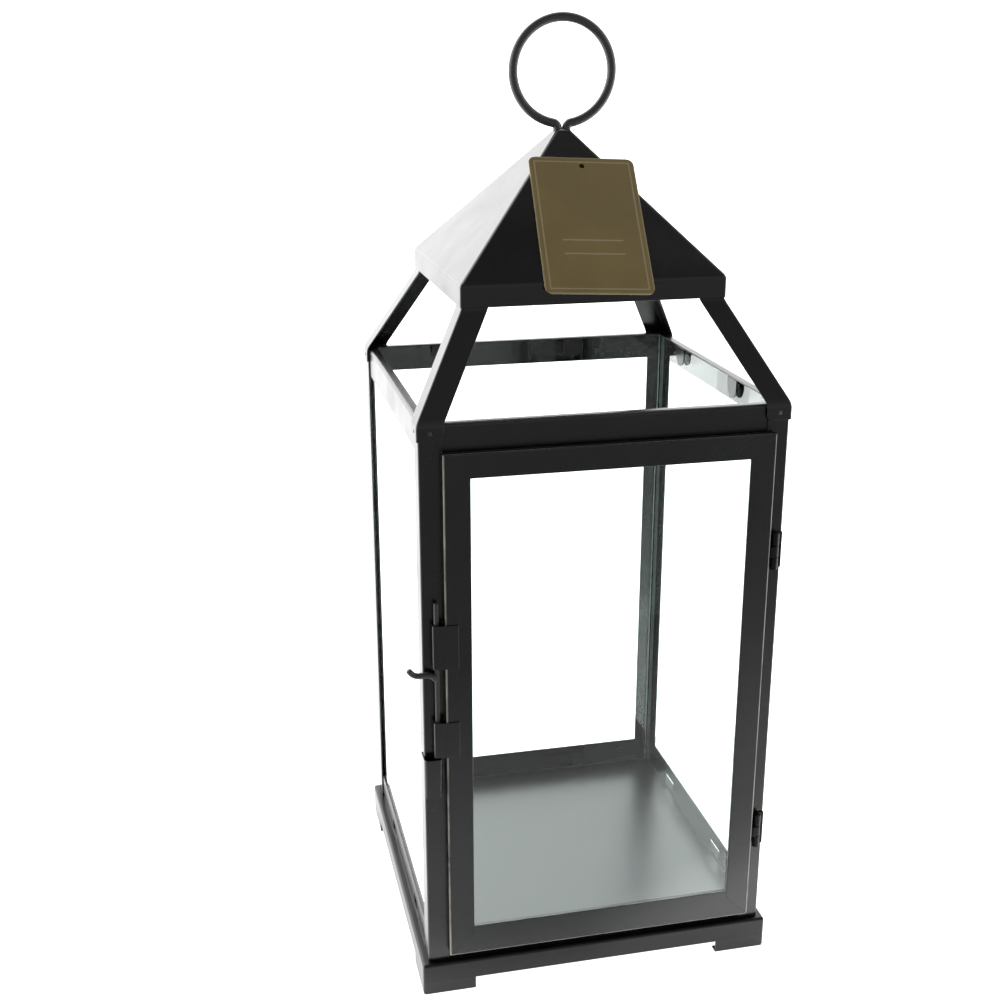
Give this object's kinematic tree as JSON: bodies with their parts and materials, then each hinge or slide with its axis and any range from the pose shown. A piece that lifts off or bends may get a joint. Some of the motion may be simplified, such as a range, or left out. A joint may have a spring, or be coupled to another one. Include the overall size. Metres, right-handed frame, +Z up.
{
  "type": "candle lantern",
  "caption": "Square black sheet-metal candle lantern with glass sides, a hinged glass door with a drop bolt, a pyramid roof on struts and a hanging ring.",
  "frame": {"origin": "on the floor under the middle of the base", "axes": "+Z up, the door faces -Y, its latch edge is at -X and its hinges at +X"},
  "size_m": [0.1849, 0.1822, 0.4631],
  "materials": {
    "black_sheet": "satin black paint on folded sheet steel, worn a little at the edges",
    "black_wire": "satin black paint on steel wire and pins",
    "clear_glass": "clear float glass, slightly green at the edges",
    "tag_card": "stiff bronze-brown card with a paler border, no lettering"
  },
  "bodies": {
    "lantern_body": {"base_tray": "black_sheet", "roof_cap": "black_sheet", "hanging_ring": "black_wire", "hang_tag": "tag_card", "knee_rivets": "black_wire", "latch_keeper": "black_sheet", "corner_post_front_left": "black_sheet", "corner_post_front_right": "black_sheet", "corner_post_back_left": "black_sheet", "corner_post_back_right": "black_sheet", "roof_strut_front_left": "black_sheet", "roof_strut_front_right": "black_sheet", "roof_strut_back_left": "black_sheet", "roof_strut_back_right": "black_sheet", "top_rail_front": "black_sheet", "top_rail_back": "black_sheet", "top_rail_left": "black_sheet", "top_rail_right": "black_sheet", "bottom_rail_front": "black_sheet", "bottom_rail_back": "black_sheet", "bottom_rail_left": "black_sheet", "bottom_rail_right": "black_sheet", "glass_back": "clear_glass", "glass_left": "clear_glass", "glass_right": "clear_glass", "hinge_leaf_post_lower": "black_sheet", "hinge_leaf_post_upper": "black_sheet", "hinge_pin_lower": "black_wire", "hinge_pin_upper": "black_wire"},
    "door": {"door_stile_left": "black_sheet", "door_stile_right": "black_sheet", "door_rail_bottom": "black_sheet", "door_rail_top": "black_sheet", "door_glass": "clear_glass", "hinge_leaf_door_lower": "black_sheet", "hinge_leaf_door_upper": "black_sheet", "latch_strap_lower": "black_sheet", "latch_strap_upper": "black_sheet"},
    "latch": {"latch_bolt": "black_wire"}
  },
  "joints": [
    {"name": "door_hinge", "type": "hinge", "parent": "lantern_body", "child": "door", "pos_m": [0.08235, -0.08935, 0.1455], "axis": [0, 0, 1], "range_deg": [0, 170]},
    {"name": "bolt_slide", "type": "slide", "parent": "door", "child": "latch", "axis": [0, 0, 1], "range_m": [-0.018, 0.0018]}
  ]
}
